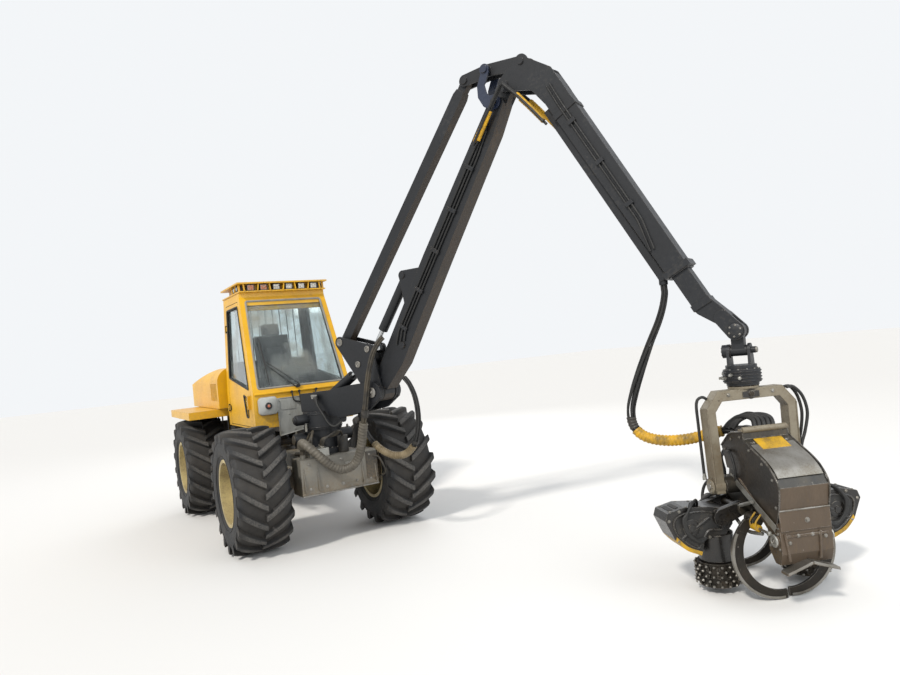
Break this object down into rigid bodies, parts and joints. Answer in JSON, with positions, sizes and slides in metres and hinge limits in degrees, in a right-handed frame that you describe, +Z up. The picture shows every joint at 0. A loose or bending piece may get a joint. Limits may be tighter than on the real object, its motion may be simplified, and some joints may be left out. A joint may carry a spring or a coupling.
{
  "type": "forestry harvester",
  "caption": "Frame-steered forestry harvester with a cab and engine on its rear frame, a parallel crane on its front frame and a hanging roller harvester head.",
  "frame": {"origin": "on the ground under the middle of the front axle", "axes": "+X forward, +Y left, +Z up; the steering pivot stands at negative X"},
  "size_m": [8.757, 3.6793, 4.4847],
  "materials": {
    "tyre_rubber": "dusty",
    "rim_paint": "worn gloss",
    "yellow_paint": "gloss",
    "window_glass": "clear",
    "lamp_plastic": "gloss",
    "seat_fabric": "woven",
    "frame_steel": "worn",
    "chassis_paint": "satin",
    "hose_rubber": "satin",
    "rod_chrome": "polished",
    "crane_paint": "semi-gloss",
    "worn_edge_steel": "worn",
    "roller_steel": "worn",
    "head_steel": "worn"
  },
  "bodies": {
    "rear_unit": {"rear_frame": "chassis_paint", "rear_plate": "chassis_paint", "rear_axle": "chassis_paint", "engine_block": "chassis_paint", "cab_shell": "yellow_paint", "cab_glass": "window_glass", "cab_roof": "yellow_paint", "work_lamps": "lamp_plastic", "operator_seat": "seat_fabric", "rear_fenders": "yellow_paint", "fuel_tank": "chassis_paint", "exhaust": "chassis_paint"},
    "door": {"cab_door": "yellow_paint", "door_glass": "window_glass"},
    "hood": {"hood": "yellow_paint"},
    "front_unit": {"front_frame": "frame_steel", "front_axle": "chassis_paint", "crane_pedestal": "crane_paint", "hose_front": "hose_rubber"},
    "wheel_fl": {"tyre_fl": "tyre_rubber", "rim_fl": "rim_paint"},
    "wheel_fr": {"tyre_fr": "tyre_rubber", "rim_fr": "rim_paint"},
    "wheel_rl": {"tyre_rl": "tyre_rubber", "rim_rl": "rim_paint"},
    "wheel_rr": {"tyre_rr": "tyre_rubber", "rim_rr": "rim_paint"},
    "steer_cylinder_l": {"steer_barrel_l": "crane_paint"},
    "steer_piston_l": {"steer_rod_l": "rod_chrome"},
    "steer_cylinder_r": {"steer_barrel_r": "crane_paint"},
    "steer_piston_r": {"steer_rod_r": "rod_chrome"},
    "mast": {"mast": "crane_paint", "hose_boom": "hose_rubber"},
    "crank": {"crank": "crane_paint"},
    "boom": {"boom": "crane_paint"},
    "tie_bar": {"tie_bar": "crane_paint"},
    "stick": {"stick": "crane_paint", "hose_stick": "hose_rubber"},
    "rocker": {"rocker": "crane_paint"},
    "coupler": {"coupler": "crane_paint"},
    "extension": {"extension": "crane_paint"},
    "lift_cylinder": {"lift_barrel": "crane_paint"},
    "lift_piston": {"lift_rod": "rod_chrome"},
    "reach_cylinder": {"reach_barrel": "crane_paint"},
    "reach_piston": {"reach_rod": "rod_chrome"},
    "tip_link": {"tip_link": "crane_paint"},
    "rotator": {"rotator": "crane_paint"},
    "head_hanger": {"head_hanger": "head_steel"},
    "head": {"head_frame": "head_steel", "head_cover": "head_steel"},
    "saw_bar": {"saw_bar": "worn_edge_steel"},
    "feed_arm_l": {"feed_arm_l": "head_steel"},
    "feed_arm_r": {"feed_arm_r": "head_steel"},
    "feed_roller_l": {"feed_roller_l": "roller_steel"},
    "feed_roller_r": {"feed_roller_r": "roller_steel"},
    "knife_rear_l": {"knife_rear_l": "worn_edge_steel"},
    "knife_rear_r": {"knife_rear_r": "worn_edge_steel"},
    "knife_front_l": {"knife_front_l": "worn_edge_steel"},
    "knife_front_r": {"knife_front_r": "worn_edge_steel"}
  },
  "joints": [
    {"name": "steer", "type": "hinge", "parent": "rear_unit", "child": "front_unit", "pos_m": [-1.38, 0, 0.73], "axis": [0, 0, 1], "range_deg": [-36, 36]},
    {"name": "wheel_turn_fl", "type": "hinge", "parent": "front_unit", "child": "wheel_fl", "pos_m": [0, 0.825, 0.665], "axis": [0, 1, 0], "continuous": true},
    {"name": "wheel_turn_fr", "type": "hinge", "parent": "front_unit", "child": "wheel_fr", "pos_m": [0, -0.825, 0.665], "axis": [0, 1, 0], "continuous": true},
    {"name": "wheel_turn_rl", "type": "hinge", "parent": "rear_unit", "child": "wheel_rl", "pos_m": [-2.76, 0.825, 0.665], "axis": [0, 1, 0], "continuous": true},
    {"name": "wheel_turn_rr", "type": "hinge", "parent": "rear_unit", "child": "wheel_rr", "pos_m": [-2.76, -0.825, 0.665], "axis": [0, 1, 0], "continuous": true},
    {"name": "door_swing", "type": "hinge", "parent": "rear_unit", "child": "door", "pos_m": [-1.63, -0.612, 1.67], "axis": [0, -0.0491, -0.9988], "range_deg": [0, 80]},
    {"name": "hood_lift", "type": "hinge", "parent": "rear_unit", "child": "hood", "pos_m": [-3.727, 0, 1.49], "axis": [0, -1, 0], "range_deg": [0, 60]},
    {"name": "steer_cylinder_swing_l", "type": "hinge", "parent": "rear_unit", "child": "steer_cylinder_l", "pos_m": [-1.755, 0.43, 0.74], "axis": [0, 0, 1], "range_deg": [-30, 30]},
    {"name": "steer_stroke_l", "type": "slide", "parent": "steer_cylinder_l", "child": "steer_piston_l", "axis": [0.994, -0.1095, 0], "range_m": [-0.26, 0.26]},
    {"name": "steer_cylinder_swing_r", "type": "hinge", "parent": "rear_unit", "child": "steer_cylinder_r", "pos_m": [-1.755, -0.43, 0.74], "axis": [0, 0, 1], "range_deg": [-30, 30]},
    {"name": "steer_stroke_r", "type": "slide", "parent": "steer_cylinder_r", "child": "steer_piston_r", "axis": [0.994, 0.1095, 0], "range_m": [-0.26, 0.26]},
    {"name": "slew", "type": "hinge", "parent": "front_unit", "child": "mast", "pos_m": [0.15, 0, 1.4], "axis": [0, 0, 1], "range_deg": [-115, 70], "deforming": ["hose_front"]},
    {"name": "lift", "type": "hinge", "parent": "mast", "child": "crank", "pos_m": [0.99626, 0.38566, 1.59], "axis": [0.4147, -0.91, 0], "range_deg": [-4, 30], "deforming": ["hose_boom"]},
    {"name": "reach", "type": "hinge", "parent": "crank", "child": "boom", "pos_m": [0.99626, 0.38566, 1.59], "axis": [-0.4147, 0.91, 0], "range_deg": [-12, 30]},
    {"name": "tie_swing", "type": "hinge", "parent": "crank", "child": "tie_bar", "pos_m": [0.59917, 0.2047, 2.13861], "axis": [-0.4147, 0.91, 0], "range_deg": [-12.5, 30]},
    {"name": "stick_fold", "type": "hinge", "parent": "boom", "child": "stick", "pos_m": [2.66792, 1.14748, 4.24306], "axis": [-0.4147, 0.91, 0], "range_deg": [-70, 28.5]},
    {"name": "rocker_swing", "type": "hinge", "parent": "boom", "child": "rocker", "pos_m": [2.55551, 1.09626, 4.11209], "axis": [-0.4147, 0.91, 0], "range_deg": [-40, 16]},
    {"name": "coupler_swing", "type": "hinge", "parent": "stick", "child": "coupler", "pos_m": [2.82685, 1.21991, 4.38961], "axis": [-0.4147, 0.91, 0], "range_deg": [-12.5, 31]},
    {"name": "lift_cylinder_swing", "type": "hinge", "parent": "mast", "child": "lift_cylinder", "pos_m": [0.28649, 0.0622, 1.56], "axis": [0.4147, -0.91, 0], "range_deg": [-6, 2]},
    {"name": "lift_stroke", "type": "slide", "parent": "lift_cylinder", "child": "lift_piston", "axis": [0.7914, 0.3607, 0.4936], "range_m": [-0.19, 0.04]},
    {"name": "reach_cylinder_swing", "type": "hinge", "parent": "boom", "child": "reach_cylinder", "pos_m": [1.42275, 0.58002, 2.73236], "axis": [-0.4147, 0.91, 0], "range_deg": [-4, 8]},
    {"name": "reach_stroke", "type": "slide", "parent": "reach_cylinder", "child": "reach_piston", "axis": [-0.5483, -0.2499, -0.7981], "range_m": [-0.09, 0.2]},
    {"name": "extend", "type": "slide", "parent": "stick", "child": "extension", "axis": [0.4272, 0.1947, -0.8829], "range_m": [0, 1.3]},
    {"name": "tip_swing", "type": "hinge", "parent": "extension", "child": "tip_link", "pos_m": [4.20726, 1.849, 1.87733], "axis": [0.4147, -0.91, 0], "range_deg": [-45, 45], "deforming": ["hose_stick"]},
    {"name": "cross_swing", "type": "hinge", "parent": "tip_link", "child": "rotator", "pos_m": [4.20726, 1.849, 1.72733], "axis": [0.91, 0.4147, 0], "range_deg": [-45, 45]},
    {"name": "rotator_turn", "type": "hinge", "parent": "rotator", "child": "head_hanger", "pos_m": [4.20726, 1.849, 1.45], "axis": [0, 0, 1], "range_deg": [-170, 170]},
    {"name": "head_tilt", "type": "hinge", "parent": "head_hanger", "child": "head", "pos_m": [4.24352, 1.8321, 0.76], "axis": [0.4226, 0.9063, 0], "range_deg": [-15, 85]},
    {"name": "arm_swing_l", "type": "hinge", "parent": "head", "child": "feed_arm_l", "pos_m": [4.28756, 2.0212, 0.606], "axis": [0.9063, -0.4226, 0], "range_deg": [-18, 20]},
    {"name": "roller_turn_l", "type": "hinge", "parent": "feed_arm_l", "child": "feed_roller_l", "pos_m": [4.35095, 2.15715, 0.135], "axis": [0, 0, 1], "continuous": true},
    {"name": "knife_rear_swing_l", "type": "hinge", "parent": "head", "child": "knife_rear_l", "pos_m": [3.97942, 2.16489, 0.566], "axis": [0.9063, -0.4226, 0], "range_deg": [-10, 45]},
    {"name": "knife_front_swing_l", "type": "hinge", "parent": "head", "child": "knife_front_l", "pos_m": [4.56852, 1.89019, 0.566], "axis": [0.9063, -0.4226, 0], "range_deg": [-10, 45]},
    {"name": "arm_swing_r", "type": "hinge", "parent": "head", "child": "feed_arm_r", "pos_m": [4.12697, 1.6768, 0.606], "axis": [-0.9063, 0.4226, 0], "range_deg": [-18, 20]},
    {"name": "roller_turn_r", "type": "hinge", "parent": "feed_arm_r", "child": "feed_roller_r", "pos_m": [4.06357, 1.54086, 0.135], "axis": [0, 0, 1], "continuous": true},
    {"name": "knife_rear_swing_r", "type": "hinge", "parent": "head", "child": "knife_rear_r", "pos_m": [3.81882, 1.82049, 0.566], "axis": [-0.9063, 0.4226, 0], "range_deg": [-10, 45]},
    {"name": "knife_front_swing_r", "type": "hinge", "parent": "head", "child": "knife_front_r", "pos_m": [4.40792, 1.54579, 0.566], "axis": [-0.9063, 0.4226, 0], "range_deg": [-10, 45]},
    {"name": "saw_swing", "type": "hinge", "parent": "head", "child": "saw_bar", "pos_m": [4.61882, 1.55558, 0.345], "axis": [-0.9063, 0.4226, 0], "range_deg": [0, 135]}
  ],
  "couplings": [
    {"joint": "tie_swing", "follows": "reach", "ratio": 0.98},
    {"joint": "stick_fold", "follows": "reach", "ratio": -2.3},
    {"joint": "rocker_swing", "follows": "reach", "ratio": -1.3},
    {"joint": "coupler_swing", "follows": "reach", "ratio": 1},
    {"joint": "reach_cylinder_swing", "follows": "reach", "ratio": 0.25},
    {"joint": "reach_stroke", "follows": "reach", "m_per_rad": 0.356},
    {"joint": "lift_cylinder_swing", "follows": "lift", "ratio": -0.18},
    {"joint": "lift_stroke", "follows": "lift", "m_per_rad": -0.338},
    {"joint": "steer_cylinder_swing_l", "follows": "steer", "ratio": 0.66},
    {"joint": "steer_stroke_l", "follows": "steer", "m_per_rad": -0.378},
    {"joint": "steer_cylinder_swing_r", "follows": "steer", "ratio": 0.66},
    {"joint": "steer_stroke_r", "follows": "steer", "m_per_rad": 0.378}
  ]
}
